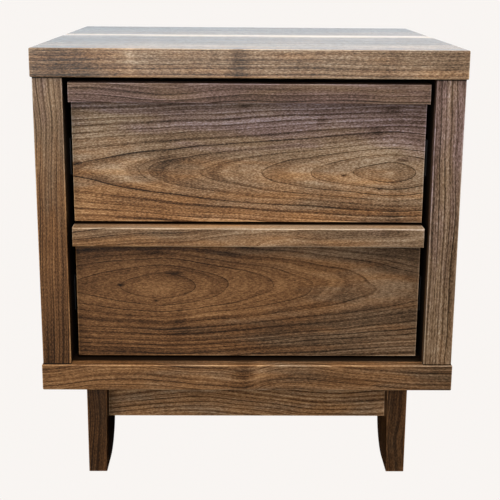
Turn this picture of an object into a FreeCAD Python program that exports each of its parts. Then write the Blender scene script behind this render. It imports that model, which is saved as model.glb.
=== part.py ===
"""Two-drawer nightstand in solid wood, as a parametric FreeCAD assembly.

Millimetres. The origin is on the floor under the middle of the top slab. +Z is up,
-Y is the drawer side (the front) and -X is the left of someone facing the drawers.
"""
import FreeCAD
import Part
import Sketcher
import os
import re

# Driving dimensions: every size and place in the model is an expression of these.
SIZES = {
    # carcass
    "total_height": 540,
    "top_width": 508,
    "top_depth": 457,
    "top_thickness": 33.5,
    "case_width": 504,
    "case_setback": 3,          # front edges of the side panels behind the slab's front
    "side_thickness": 34.5,
    "bottom_thickness": 33,
    "bottom_overhang": 1.6,     # bottom panel past the side panels, each side
    "bottom_setback": 1.5,      # bottom panel's front behind the slab's front
    "back_thickness": 9,
    "rabbet_width": 9,          # shoulder that the back panel sits on
    "rabbet_depth": 12,
    "edge_ease": 1.5,
    "arris_ease": 0.8,
    # base
    "leg_height": 120,
    "leg_setback": 20,          # leg's front behind the slab's front
    "leg_span": 404,            # over the outer faces of the legs
    "leg_depth": 87,
    "leg_head": 25,             # leg thickness under the case
    "leg_foot": 23,             # leg thickness at the floor
    "leg_round": 45,            # radius of the leg's lower inner corner
    "rail_setback": 24,         # rail's face behind the leg's face
    "rail_thickness": 22,
    "rail_height": 54,
    "side_rail_thickness": 20,
    "side_rail_inset": 2,
    "block_size": 38,
    "block_height": 40,
    # drawer fronts
    "drawer_width": 423,
    "drawer_height": 170.5,
    "face_thickness": 19,
    "lip_depth": 22,
    "lip_height": 23,
    "lip_setback": 1,           # lip's front behind the side panels' front edges
    "gap_below": 3,
    "gap_between": 3,
    # drawer boxes
    "box_depth": 350,
    "box_height": 125,
    "box_rise": 14,             # box above the lower edge of its face
    "box_wall": 12,
    "box_rabbet": 6,            # corner rabbet in the box sides
    "floor_thickness": 6,
    "floor_rise": 10,
    "groove_depth": 5,
    # drawer slides
    "slide_space": 12.7,        # between a box side and a case side
    "slide_length": 350,
    "slide_steel": 1.2,
    "outer_height": 45,
    "outer_flange": 9.5,
    "middle_height": 38.4,
    "middle_start": 3,
    "middle_flange": 7.8,
    "inner_height": 31.8,
    "inner_flange": 7.1,
    "cage_length": 150,
    "cage_width": 3,
    "cage_thickness": 0.6,
    "cage_end": 5,              # from the end of a cage to its last ball
    "ball_radius": 0.75,
    # dowels
    "dowel_radius": 5,
    "dowel_length": 50,
    "dowel_in_panel": 20,
    "dowel_margin_front": 45,   # from the case's front edge to the first dowel
    "dowel_margin_rear": 55,
    "peg_radius": 4,            # the thinner dowels of the base
    "peg_length": 36,
    "peg_in_leg": 14,
    "hole_clearance": 0.05,
    # screws
    "small_shank": 1.75,
    "small_head": 3.5,
    "flat_head_rise": 1.5,
    "case_screw_length": 16,
    "box_screw_length": 10,
    "back_screw_length": 25,
    "back_screw_margin": 25,    # from the case's inner top and bottom to the first screw
    "slide_screw_margin": 30,   # from the slide's ends to the first screw
    "face_shank": 2,
    "face_head": 4,
    "face_head_rise": 2.4,
    "face_screw_length": 25,
    "base_shank": 2.5,
    "base_head": 5,
    "base_head_rise": 3,
    "base_screw_length": 64,
}

# Positions that several pieces share, as expressions of the driving dimensions.
FRONT = "(-top_depth / 2)"
REAR = "(top_depth / 2)"
CASE_FRONT = f"({FRONT} + case_setback)"
CASE_INSIDE = "(case_width - 2 * side_thickness)"
FLOOR_OF_CASE = "(leg_height + bottom_thickness)"
SLAB_UNDERSIDE = "(total_height - top_thickness)"
SIDE_HEIGHT = f"({SLAB_UNDERSIDE} - {FLOOR_OF_CASE})"
SIDE_DEPTH = f"({REAR} - {CASE_FRONT})"
BOTTOM_WIDTH = "(case_width + 2 * bottom_overhang)"
BOTTOM_DEPTH = "(top_depth - bottom_setback)"
LIP_FRONT = f"({CASE_FRONT} + lip_setback)"
FACE_FRONT = f"({LIP_FRONT} + lip_depth)"
BOX_FRONT = f"({FACE_FRONT} + face_thickness)"
BOX_WIDTH = f"({CASE_INSIDE} - 2 * slide_space)"
BACK_FACE = f"({REAR} - rabbet_depth)"
RAIL_BOTTOM = "(leg_height - rail_height)"

LOWER_FACE = f"({FLOOR_OF_CASE} + gap_below)"
DRAWERS = {
    "lower": LOWER_FACE,
    "upper": f"({LOWER_FACE} + drawer_height + gap_between)",
}
BALLS_PER_CAGE = 8
DOWELS_IN_ROW = 4
BACK_SCREWS_IN_ROW = 4
SCREWS_IN_SLIDE = 3

# Places given as shares of a length.
PEG_SHARES = (0.3, 0.7)             # dowels down the height of a rail
FACE_SCREW_SHARES = (0.3, 0.75)     # face screws up the height of the box
FACE_SCREW_SPREAD = 0.3             # face screws from the middle of the drawer's width
HEAD_TAPER = 0.7                    # screw head's outer radius to its seat radius
DRIVE_RADIUS = 0.42                 # corner of the square drive to the head's seat radius
DRIVE_FLOOR = 0.4                   # height of the drive's floor in the head
NEAR = 1e-6                         # closer than this counts as touching
SIDES = {"left": -1, "right": 1}
ENDS = {"front": -1, "rear": 1}

TURNS = {
    "+x": FreeCAD.Rotation(FreeCAD.Vector(0, 1, 0), 90),
    "-x": FreeCAD.Rotation(FreeCAD.Vector(0, 1, 0), -90),
    "+y": FreeCAD.Rotation(FreeCAD.Vector(1, 0, 0), -90),
    "-y": FreeCAD.Rotation(FreeCAD.Vector(1, 0, 0), 90),
    "+z": FreeCAD.Rotation(),
    "-z": FreeCAD.Rotation(FreeCAD.Vector(1, 0, 0), 180),
}

doc = FreeCAD.newDocument("Nightstand")
sheet = doc.addObject("Spreadsheet::Sheet", "Sizes")
for row, (alias, size) in enumerate(SIZES.items(), start=1):
    sheet.set(f"A{row}", alias)
    sheet.set(f"B{row}", str(size))
    sheet.setAlias(f"B{row}", alias)
doc.recompute()

pieces = []


# ---------------------------------------------------------------- helpers

def full(expression):
    """The expression with every alias written as a cell of the sheet."""
    return re.sub(r"[a-z]+(?:_[a-z]+)*", lambda word: "Sizes." + word.group(0), expression)


def value(expression):
    """The number that an expression gives now, for a sketch's first drawing."""
    return float(sheet.evalExpression(full(expression)))


def bind(thing, prop, expression):
    thing.setExpression(prop, full(expression))


def place(thing, corner, turn="+z"):
    thing.Placement = FreeCAD.Placement(FreeCAD.Vector(), TURNS[turn])
    for axis, expression in zip("xyz", corner):
        bind(thing, f"Placement.Base.{axis}", expression)


def keep(thing, name):
    """Label an object as a finished sub-part."""
    thing.Label = name
    pieces.append(thing)
    return thing


def signed(side, expression):
    """The expression on the left (negative) or on the right (positive)."""
    return f"({expression})" if side > 0 else f"(-({expression}))"


def corner_x(side, outer, width):
    """Lowest X of a piece of this width whose outer face is this far from the middle."""
    return f"({outer} - {width})" if side > 0 else f"(-({outer}))"


def corner_y(end, inset, depth):
    """Lowest Y of a piece this deep, set in from the slab's front or rear."""
    return f"({FRONT} + {inset})" if end < 0 else f"({REAR} - {inset} - {depth})"


def mirrored(points, width):
    """A profile turned left for right within its own width."""
    return [(f"({width} - ({across}))", up) for across, up in points]


def rectangle(width, depth):
    return [("0", "0"), (width, "0"), (width, depth), ("0", depth)]


def draw(body, plane, points):
    """A closed outline on one of the body's planes, each corner bound to the sheet."""
    sketch = body.newObject("Sketcher::SketchObject", body.Name + "_outline")
    support = [item for item in body.Origin.OriginFeatures if item.Role == plane]
    sketch.AttachmentSupport = [(support[0], "")]
    sketch.MapMode = "FlatFace"
    corners = [FreeCAD.Vector(value(across), value(up), 0) for across, up in points]
    for start, end in zip(corners, corners[1:] + corners[:1]):
        sketch.addGeometry(Part.LineSegment(start, end))
    for index, point in enumerate(points):
        previous = (index - 1) % len(points)
        sketch.addConstraint(Sketcher.Constraint("Coincident", previous, 2, index, 1))
        for kind, axis, expression in zip(("DistanceX", "DistanceY"), (-2, -1), point):
            if abs(value(expression)) < NEAR:
                sketch.addConstraint(Sketcher.Constraint("PointOnObject", index, 1, axis))
                continue
            rule = Sketcher.Constraint(kind, -1, 1, index, 1, value(expression))
            bind(sketch, f"Constraints[{sketch.addConstraint(rule)}]", expression)
    return sketch


def ease(body, radius, chosen):
    """Round the edges of the body's last feature that the test picks by their middles."""
    base = body.Tip
    box = base.Shape.BoundBox
    edges = []
    for number, edge in enumerate(base.Shape.Edges, start=1):
        if chosen(edge.CenterOfMass, box):
            edges.append(f"Edge{number}")
    fillet = body.newObject("PartDesign::Fillet", body.Name + "_ease")
    fillet.Base = (base, edges)
    bind(fillet, "Radius", radius)
    doc.recompute()


def is_between_ends(height, box):
    """True away from the top and bottom edges of a body."""
    return box.ZMin + 1 < height < box.ZMax - 1


def prism(name, plane, points, length, corner):
    """A body padded from an outline. Its lowest corner goes to the given place."""
    body = doc.addObject("PartDesign::Body", name)
    sketch = draw(body, plane, points)
    pad = body.newObject("PartDesign::Pad", name + "_pad")
    pad.Profile = sketch
    pad.Reversed = plane == "XZ_Plane"
    bind(pad, "Length", length)
    place(body, corner)
    doc.recompute()
    return body


def board(name, size, corner):
    """A plain rectangular board."""
    width, depth, height = size
    return prism(name, "XY_Plane", rectangle(width, depth), height, corner)


def block(size, corner):
    """A plain box, used to cut grooves."""
    box = doc.addObject("Part::Box", "Cutter")
    for prop, expression in zip(("Length", "Width", "Height"), size):
        bind(box, prop, expression)
    place(box, corner)
    return box


def rod(point, turn, radius, length):
    cylinder = doc.addObject("Part::Cylinder", "Rod")
    bind(cylinder, "Radius", radius)
    bind(cylinder, "Height", length)
    place(cylinder, point, turn)
    return cylinder


def hole(point, turn, radius, length):
    """A drilled hole that a dowel or a shank of this radius fits."""
    return rod(point, turn, f"({radius} + hole_clearance)", length)


def moved(point, turn, distance):
    """The point moved along a direction such as +x or -z."""
    result = list(point)
    axis = "xyz".index(turn[1])
    result[axis] = f"({point[axis]} {turn[0]} {distance})"
    return tuple(result)


def opposite(turn):
    return ("-" if turn[0] == "+" else "+") + turn[1]


def group(name, members):
    """Identical fasteners as one sub-part of separate solids."""
    compound = doc.addObject("Part::Compound", name)
    compound.Links = members
    return keep(compound, name)


def cut(name, blank, cutters):
    """The blank without its cutters, which don't touch each other."""
    tool = doc.addObject("Part::Compound", name + "_cutters")
    tool.Links = cutters
    result = doc.addObject("Part::Cut", name + "_cut")
    result.Base = blank
    result.Tool = tool
    return result


def screw(seat, turn, shank, length, head, rise):
    """A square-drive screw, its head resting on the seat and its shank along the turn."""
    body = rod(seat, turn, shank, length)
    cap = doc.addObject("Part::Cone", "Head")
    bind(cap, "Radius1", head)
    bind(cap, "Radius2", f"({head} * {HEAD_TAPER})")
    bind(cap, "Height", rise)
    place(cap, seat, opposite(turn))
    whole = doc.addObject("Part::Fuse", "Screw")
    whole.Base = body
    whole.Tool = cap
    recess = doc.addObject("Part::Prism", "Drive")
    recess.Polygon = 4
    bind(recess, "Circumradius", f"({head} * {DRIVE_RADIUS})")
    bind(recess, "Height", rise)
    place(recess, moved(seat, opposite(turn), f"({rise} * {DRIVE_FLOOR})"), opposite(turn))
    result = doc.addObject("Part::Cut", "DrivenScrew")
    result.Base = whole
    result.Tool = recess
    return result


def evenly(start, end, count):
    """Expressions for evenly spaced places from start to end."""
    return [f"({start} + ({end} - {start}) * {step} / {count - 1})" for step in range(count)]


# ---------------------------------------------------------------- carcass joints

def dowel_places(level):
    """Middles of the dowels between the side panels and a horizontal panel."""
    first = f"({CASE_FRONT} + dowel_margin_front)"
    rows = evenly(first, f"({REAR} - dowel_margin_rear)", DOWELS_IN_ROW)
    centre = "(case_width / 2 - side_thickness / 2)"
    return [(signed(side, centre), row, level) for side in SIDES.values() for row in rows]


def dowel_holes(level, turn, length):
    return [hole(point, turn, "dowel_radius", length) for point in dowel_places(level)]


def back_screw_places():
    """Where the back panel is screwed to the side panels, on its rear face."""
    across = f"({CASE_INSIDE} / 2 + rabbet_width / 2)"
    lowest = f"({FLOOR_OF_CASE} + back_screw_margin)"
    rows = evenly(lowest, f"({SLAB_UNDERSIDE} - back_screw_margin)", BACK_SCREWS_IN_ROW)
    behind = f"({BACK_FACE} + back_thickness)"
    places = {}
    for side in SIDES.values():
        places[side] = [(signed(side, across), behind, row) for row in rows]
    return places


def slide_middle(face_bottom):
    """Height of the slides' centre line for a drawer with this lower edge."""
    return f"({face_bottom} + box_rise + box_height / 2)"


def slide_rows():
    """Screw places along a slide."""
    start = f"({BOX_FRONT} + slide_screw_margin)"
    end = f"({BOX_FRONT} + slide_length - slide_screw_margin)"
    return evenly(start, end, SCREWS_IN_SLIDE)


def case_screw_places(side):
    """Seats of the slide screws on the case side, on the inner face of the outer member."""
    across = signed(side, f"{CASE_INSIDE} / 2 - slide_steel")
    places = []
    for bottom in DRAWERS.values():
        places += [(across, row, slide_middle(bottom)) for row in slide_rows()]
    return places


def box_screw_places(side, face_bottom):
    """Seats of the slide screws on the drawer side, on the inner member."""
    across = signed(side, f"{BOX_WIDTH} / 2 + slide_steel")
    return [(across, row, slide_middle(face_bottom)) for row in slide_rows()]


def outward(side):
    return "+x" if side > 0 else "-x"


def inward(side):
    return "-x" if side > 0 else "+x"


# ---------------------------------------------------------------- carcass

def top_slab():
    size = ("top_width", "top_depth", "top_thickness")
    blank = board("Slab", size, ("(-top_width / 2)", FRONT, SLAB_UNDERSIDE))
    ease(blank, "edge_ease", lambda middle, box: True)
    rabbet_size = (f"({CASE_INSIDE} + 2 * rabbet_width)", "rabbet_depth", "rabbet_width")
    rabbet = block(rabbet_size, (f"(-{CASE_INSIDE} / 2 - rabbet_width)", BACK_FACE, SLAB_UNDERSIDE))
    grooved = cut("SlabRabbet", blank, [rabbet])
    keep(cut("SlabHoles", grooved, dowel_holes(SLAB_UNDERSIDE, "+z", "dowel_in_panel")), "top_slab")


def bottom_panel():
    size = (BOTTOM_WIDTH, BOTTOM_DEPTH, "bottom_thickness")
    corner = (f"(-{BOTTOM_WIDTH} / 2)", f"({FRONT} + bottom_setback)", "leg_height")
    blank = board("Bottom", size, corner)
    ease(blank, "edge_ease", lambda middle, box: True)
    rabbet_size = (f"({CASE_INSIDE} + 2 * rabbet_width)", "rabbet_depth", "rabbet_width")
    rabbet_z = f"({FLOOR_OF_CASE} - rabbet_width)"
    rabbet = block(rabbet_size, (f"(-{CASE_INSIDE} / 2 - rabbet_width)", BACK_FACE, rabbet_z))
    grooved = cut("BottomRabbet", blank, [rabbet])
    holes = dowel_holes(FLOOR_OF_CASE, "-z", "dowel_in_panel")
    for seat in base_screw_seats():
        top_of_block = (seat[0], seat[1], "leg_height")
        holes.append(hole(top_of_block, "+z", "base_shank", "(base_screw_length - block_height)"))
    keep(cut("BottomHoles", grooved, holes), "bottom_panel")


def side_panel(name, side):
    """One board with a rear rabbet, drilled for dowels, slide screws and back screws."""
    notch = "(side_thickness - rabbet_width)"
    step = f"({SIDE_DEPTH} - rabbet_depth)"
    outline = [
        ("0", "0"),
        ("side_thickness", "0"),
        ("side_thickness", step),
        (notch, step),
        (notch, SIDE_DEPTH),
        ("0", SIDE_DEPTH),
    ]
    if side > 0:
        outline = mirrored(outline, "side_thickness")
    corner = (corner_x(side, "case_width / 2", "side_thickness"), CASE_FRONT, FLOOR_OF_CASE)
    blank = prism(f"Side_{name}", "XY_Plane", outline, SIDE_HEIGHT, corner)
    # the long front arrises are eased, the ends stay square in their joints
    ease(blank, "arris_ease", lambda middle, box: middle.y < NEAR and is_between_ends(middle.z, box))
    in_side = "(dowel_length - dowel_in_panel)"
    holes = []
    for level, turn in ((SLAB_UNDERSIDE, "-z"), (FLOOR_OF_CASE, "+z")):
        places = [point for point in dowel_places(level) if (value(point[0]) > 0) == (side > 0)]
        holes += [hole(point, turn, "dowel_radius", in_side) for point in places]
    for point in case_screw_places(side):
        holes.append(hole(point, outward(side), "small_shank", "case_screw_length"))
    for point in back_screw_places()[side]:
        start = moved(point, "-y", "back_thickness")
        holes.append(hole(start, "-y", "small_shank", "(back_screw_length - back_thickness)"))
    keep(cut(f"SideHoles_{name}", blank, holes), f"side_panel_{name}")


def back_panel():
    width = f"({CASE_INSIDE} + 2 * rabbet_width)"
    size = (width, "back_thickness", f"({SIDE_HEIGHT} + 2 * rabbet_width)")
    blank = board("Back", size, (f"(-{width} / 2)", BACK_FACE, f"({FLOOR_OF_CASE} - rabbet_width)"))
    points = [point for places in back_screw_places().values() for point in places]
    holes = [hole(point, "-y", "small_shank", "back_thickness") for point in points]
    keep(cut("BackHoles", blank, holes), "back_panel")
    screws = [screw(point, "-y", "small_shank", "back_screw_length", "small_head", "flat_head_rise")
              for point in points]
    group("back_panel_screws", screws)


def carcass_dowels():
    for name, level, below in (
        ("top_dowels", SLAB_UNDERSIDE, "(dowel_length - dowel_in_panel)"),
        ("bottom_dowels", FLOOR_OF_CASE, "dowel_in_panel"),
    ):
        starts = [moved(point, "-z", below) for point in dowel_places(level)]
        group(name, [rod(start, "+z", "dowel_radius", "dowel_length") for start in starts])


# ---------------------------------------------------------------- base

def leg_thickness(height):
    """Leg thickness at a height above the floor: the inner face leans out to the foot."""
    return f"(leg_foot + (leg_head - leg_foot) * ({height}) / leg_height)"


def peg_heights():
    return [f"(leg_height - rail_height * {share})" for share in PEG_SHARES]


def cross_peg_places(side, end):
    """Dowels from a leg into the front or rear rail, at the outer end of each dowel."""
    across = signed(side, "leg_span / 2 - leg_head + peg_in_leg")
    inset = "(leg_setback + rail_setback + rail_thickness / 2)"
    row = f"({FRONT} + {inset})" if end < 0 else f"({REAR} - {inset})"
    return [(across, row, height) for height in peg_heights()]


def long_peg_places(side, end):
    """Dowels from a leg into the side rail, at the end of each dowel inside the leg."""
    across = signed(side, "leg_span / 2 - side_rail_inset - side_rail_thickness / 2")
    inset = "(leg_setback + leg_depth - peg_in_leg)"
    row = f"({FRONT} + {inset})" if end < 0 else f"({REAR} - {inset})"
    return [(across, row, height) for height in peg_heights()]


def base_pegs(side, end, make):
    """Rods or holes for the dowels of one leg."""
    along = "+y" if end < 0 else "-y"
    across_places = cross_peg_places(side, end)
    along_places = long_peg_places(side, end)
    pegs = [make(point, inward(side), "peg_radius", "peg_length") for point in across_places]
    pegs += [make(point, along, "peg_radius", "peg_length") for point in along_places]
    return pegs


def leg(name, side, end):
    outline = [("0", "0"), ("leg_foot", "0"), ("leg_head", "leg_height"), ("0", "leg_height")]
    if side > 0:
        outline = mirrored(outline, "leg_head")
    corner = (
        corner_x(side, "leg_span / 2", "leg_head"),
        corner_y(end, "leg_setback", "leg_depth"),
        "0",
    )
    blank = prism(f"Leg_{name}", "XZ_Plane", outline, "leg_depth", corner)
    inner_y = value("leg_depth") if end < 0 else 0
    ease(blank, "leg_round", lambda middle, box: middle.z < NEAR and abs(middle.y - inner_y) < NEAR)
    top = value("leg_height")
    ease(blank, "arris_ease", lambda middle, box: middle.z < top - 1 and abs(middle.y - inner_y) > 1)
    keep(cut(f"LegHoles_{name}", blank, base_pegs(side, end, hole)), f"leg_{name}")


def cross_rail(name, end):
    """Rail between two legs, its ends cut to the lean of their inner faces."""
    low = f"(leg_span / 2 - {leg_thickness(RAIL_BOTTOM)})"
    high = "(leg_span / 2 - leg_head)"
    lean = f"({low} - {high})"
    outline = [
        ("0", "0"),
        (f"(2 * {low})", "0"),
        (f"(2 * {low} - {lean})", "rail_height"),
        (lean, "rail_height"),
    ]
    inset = "(leg_setback + rail_setback)"
    corner = (f"(-{low})", corner_y(end, inset, "rail_thickness"), RAIL_BOTTOM)
    blank = prism(f"Rail_{name}", "XZ_Plane", outline, "rail_thickness", corner)
    ease(blank, "arris_ease", lambda middle, box: middle.z < NEAR)
    pegs = [hole(point, inward(side), "peg_radius", "peg_length")
            for side in SIDES.values() for point in cross_peg_places(side, end)]
    keep(cut(f"RailHoles_{name}", blank, pegs), f"{name}_rail")


def side_rail(name, side):
    length = "(top_depth - 2 * (leg_setback + leg_depth))"
    corner = (
        corner_x(side, "leg_span / 2 - side_rail_inset", "side_rail_thickness"),
        f"({FRONT} + leg_setback + leg_depth)",
        RAIL_BOTTOM,
    )
    blank = board(f"SideRail_{name}", ("side_rail_thickness", length, "rail_height"), corner)
    ease(blank, "arris_ease", lambda middle, box: middle.z < NEAR and 1 < middle.y < box.YMax - 1)
    pegs = []
    for end, along in ((-1, "+y"), (1, "-y")):
        for point in long_peg_places(side, end):
            pegs.append(hole(point, along, "peg_radius", "peg_length"))
    keep(cut(f"SideRailHoles_{name}", blank, pegs), f"side_rail_{name}")


def block_inset():
    return "(leg_setback + rail_setback + rail_thickness)"


def base_screw_seat(side, end):
    """Under the middle of a corner block."""
    across = signed(side, "leg_span / 2 - leg_head - block_size / 2")
    inset = f"({block_inset()} + block_size / 2)"
    row = f"({FRONT} + {inset})" if end < 0 else f"({REAR} - {inset})"
    return (across, row, "(leg_height - block_height)")


def base_screw_seats():
    return [base_screw_seat(side, end) for side in SIDES.values() for end in ENDS.values()]


def corner_block(name, side, end):
    """Glue block in the angle of a leg and a rail, with the screw that holds the case."""
    low = f"(block_size + leg_head - {leg_thickness('(leg_height - block_height)')})"
    outline = [("0", "0"), (low, "0"), ("block_size", "block_height"), ("0", "block_height")]
    if side < 0:
        outline = mirrored(outline, low)
    outer = f"(leg_span / 2 - leg_head + {low} - block_size)"
    corner = (
        corner_x(side, outer, low),
        corner_y(end, block_inset(), "block_size"),
        "(leg_height - block_height)",
    )
    blank = prism(f"Block_{name}", "XZ_Plane", outline, "block_size", corner)
    drilled = hole(base_screw_seat(side, end), "+z", "base_shank", "block_height")
    keep(cut(f"BlockHole_{name}", blank, [drilled]), f"corner_block_{name}")


def base():
    pegs = []
    for side_name, side in SIDES.items():
        side_rail(side_name, side)
        for end_name, end in ENDS.items():
            leg(f"{end_name}_{side_name}", side, end)
            corner_block(f"{end_name}_{side_name}", side, end)
            pegs += base_pegs(side, end, rod)
    for end_name, end in ENDS.items():
        cross_rail(end_name, end)
    group("base_dowels", pegs)
    screws = [screw(seat, "+z", "base_shank", "base_screw_length", "base_head", "base_head_rise")
              for seat in base_screw_seats()]
    group("base_screws", screws)


# ---------------------------------------------------------------- drawer slides

def channel(start, height, flange, opens_in):
    """A C-shaped profile, its web at start and its flanges towards or away from the box."""
    web = f"({start} + slide_steel)"
    tip = f"({start} + {flange})"
    if not opens_in:
        web = f"({start} + {flange} - slide_steel)"
    low, high = "slide_steel", f"({height} - slide_steel)"
    if opens_in:
        return [(start, "0"), (tip, "0"), (tip, low), (web, low),
                (web, high), (tip, high), (tip, height), (start, height)]
    return [(start, "0"), (tip, "0"), (tip, height), (start, height),
            (start, high), (web, high), (web, low), (start, low)]


def slide_member(label, side, bottom, profile, height, seats):
    """One steel member of a slide. Profiles run from the case wall to the drawer box."""
    if side > 0:
        profile = mirrored(profile, "slide_space")
    corner = (
        corner_x(side, f"{CASE_INSIDE} / 2", "slide_space"),
        BOX_FRONT,
        f"({slide_middle(bottom)} - {height} / 2)",
    )
    blank = prism(label.title(), "XZ_Plane", profile, "slide_length", corner)
    if not seats:
        return keep(blank, label)
    turn, points = seats
    holes = [hole(point, turn, "small_shank", "slide_steel") for point in points]
    return keep(cut(label.title() + "Holes", blank, holes), label)


def ball_cage(centre_x, centre_z):
    """A strip that keeps a row of balls apart, halfway along the closed slide."""
    centre_y = f"({BOX_FRONT} + slide_length / 2)"
    corner = (
        f"({centre_x} - cage_width / 2)",
        f"({centre_y} - cage_length / 2)",
        f"({centre_z} - cage_thickness / 2)",
    )
    members = [block(("cage_width", "cage_length", "cage_thickness"), corner)]
    reach = "(cage_length / 2 - cage_end)"
    for row in evenly(f"({centre_y} - {reach})", f"({centre_y} + {reach})", BALLS_PER_CAGE):
        ball = doc.addObject("Part::Sphere", "Ball")
        bind(ball, "Radius", "ball_radius")
        place(ball, (centre_x, row, centre_z))
        members.append(ball)
    cage = doc.addObject("Part::MultiFuse", "Cage")
    cage.Shapes = members
    return cage


def ball_cages(label, bottom, around, within, shared_start, shared_end):
    """Four cages between two nested members: left and right, above and below."""
    across = f"({CASE_INSIDE} / 2 - ({shared_start} + {shared_end}) / 2)"
    gap_middle = f"(({around} / 2 - slide_steel + {within} / 2) / 2)"
    cages = []
    for side in SIDES.values():
        for sign in "+-":
            height = f"({slide_middle(bottom)} {sign} {gap_middle})"
            cages.append(ball_cage(signed(side, across), height))
    group(label, cages)


def slides(drawer, bottom):
    ball_cages(f"{drawer}_outer_ball_cages", bottom, "outer_height", "middle_height",
               "middle_start", "outer_flange")
    ball_cages(f"{drawer}_inner_ball_cages", bottom, "middle_height", "inner_height",
               "(slide_space - inner_flange)", "(middle_start + middle_flange)")
    level = slide_middle(bottom)
    outer = channel("0", "outer_height", "outer_flange", True)
    middle = channel("middle_start", "middle_height", "middle_flange", True)
    inner = channel("(slide_space - inner_flange)", "inner_height", "inner_flange", False)
    for name, side in SIDES.items():
        label = f"{drawer}_{name}_slide"
        in_case = [point for point in case_screw_places(side) if point[2] == level]
        in_box = box_screw_places(side, bottom)
        slide_member(f"{label}_outer", side, bottom, outer, "outer_height", (outward(side), in_case))
        slide_member(f"{label}_middle", side, bottom, middle, "middle_height", None)
        slide_member(f"{label}_inner", side, bottom, inner, "inner_height", (inward(side), in_box))


def slide_case_screws():
    screws = []
    for side in SIDES.values():
        for point in case_screw_places(side):
            screws.append(screw(point, outward(side), "small_shank", "case_screw_length",
                                "small_head", "flat_head_rise"))
    group("slide_case_screws", screws)


# ---------------------------------------------------------------- drawers

def face_screw_places(bottom):
    """Seats on the inner face of the box front."""
    rows = [f"({bottom} + box_rise + box_height * {share})" for share in FACE_SCREW_SHARES]
    behind = f"({BOX_FRONT} + box_wall)"
    across = f"drawer_width * {FACE_SCREW_SPREAD}"
    return [(signed(side, across), behind, row) for side in SIDES.values() for row in rows]


def drawer_front(drawer, bottom):
    size = ("drawer_width", "face_thickness", "drawer_height")
    blank = board(f"Face_{drawer}", size, ("(-drawer_width / 2)", FACE_FRONT, bottom))
    top = value("drawer_height")
    ease(blank, "arris_ease", lambda middle, box: middle.y < NEAR and middle.z < top - 1)
    in_face = "(face_screw_length - box_wall)"
    starts = [moved(point, "-y", "box_wall") for point in face_screw_places(bottom)]
    holes = [hole(start, "-y", "face_shank", in_face) for start in starts]
    keep(cut(f"FaceHoles_{drawer}", blank, holes), f"{drawer}_drawer_face")

    lip_z = f"({bottom} + drawer_height - lip_height)"
    lip = board(f"Lip_{drawer}", ("drawer_width", "lip_depth", "lip_height"),
                ("(-drawer_width / 2)", LIP_FRONT, lip_z))
    ease(lip, "edge_ease", lambda middle, box: middle.y < NEAR)
    keep(lip, f"{drawer}_pull_lip")


def box_side(drawer, name, side, bottom):
    """Box side with a rabbet at each end and a groove for the floor."""
    step = "(box_wall - box_rabbet)"
    far = "(box_depth - box_wall)"
    outline = [("0", "0"), (step, "0"), (step, "box_wall"), ("box_wall", "box_wall"),
               ("box_wall", far), (step, far), (step, "box_depth"), ("0", "box_depth")]
    if side > 0:
        outline = mirrored(outline, "box_wall")
    base_z = f"({bottom} + box_rise)"
    corner = (corner_x(side, f"{BOX_WIDTH} / 2", "box_wall"), BOX_FRONT, base_z)
    blank = prism(f"BoxSide_{drawer}_{name}", "XY_Plane", outline, "box_height", corner)
    groove_x = corner_x(side, f"({BOX_WIDTH} / 2 - box_wall + groove_depth)", "groove_depth")
    groove_size = ("groove_depth", "(box_depth - 2 * box_wall)", "floor_thickness")
    groove_corner = (groove_x, f"({BOX_FRONT} + box_wall)", f"({base_z} + floor_rise)")
    grooved = cut(f"BoxGroove_{drawer}_{name}", blank, [block(groove_size, groove_corner)])
    holes = [hole(moved(point, inward(side), "slide_steel"), inward(side), "small_shank",
                  "(box_screw_length - slide_steel)") for point in box_screw_places(side, bottom)]
    keep(cut(f"BoxSideHoles_{drawer}_{name}", grooved, holes), f"{drawer}_box_side_{name}")


def box_cross(drawer, name, bottom, corner_row, groove_row):
    """Box front or back, standing in the rabbets of the box sides."""
    width = f"({BOX_WIDTH} - 2 * (box_wall - box_rabbet))"
    base_z = f"({bottom} + box_rise)"
    corner = (f"(-{width} / 2)", corner_row, base_z)
    blank = board(f"Box_{drawer}_{name}", (width, "box_wall", "box_height"), corner)
    inside = f"({BOX_WIDTH} - 2 * box_wall)"
    groove_size = (f"({inside} + 2 * groove_depth)", "groove_depth", "floor_thickness")
    groove_corner = (f"(-{inside} / 2 - groove_depth)", groove_row, f"({base_z} + floor_rise)")
    grooved = cut(f"CrossGroove_{drawer}_{name}", blank, [block(groove_size, groove_corner)])
    if name == "front":
        holes = [hole(point, "-y", "face_shank", "box_wall") for point in face_screw_places(bottom)]
        grooved = cut(f"CrossHoles_{drawer}", grooved, holes)
    keep(grooved, f"{drawer}_box_{name}")


def box_floor(drawer, bottom):
    width = f"({BOX_WIDTH} - 2 * box_wall + 2 * groove_depth)"
    depth = "(box_depth - 2 * box_wall + 2 * groove_depth)"
    corner = (
        f"(-{width} / 2)",
        f"({BOX_FRONT} + box_wall - groove_depth)",
        f"({bottom} + box_rise + floor_rise)",
    )
    keep(board(f"Floor_{drawer}", (width, depth, "floor_thickness"), corner), f"{drawer}_box_floor")


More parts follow.
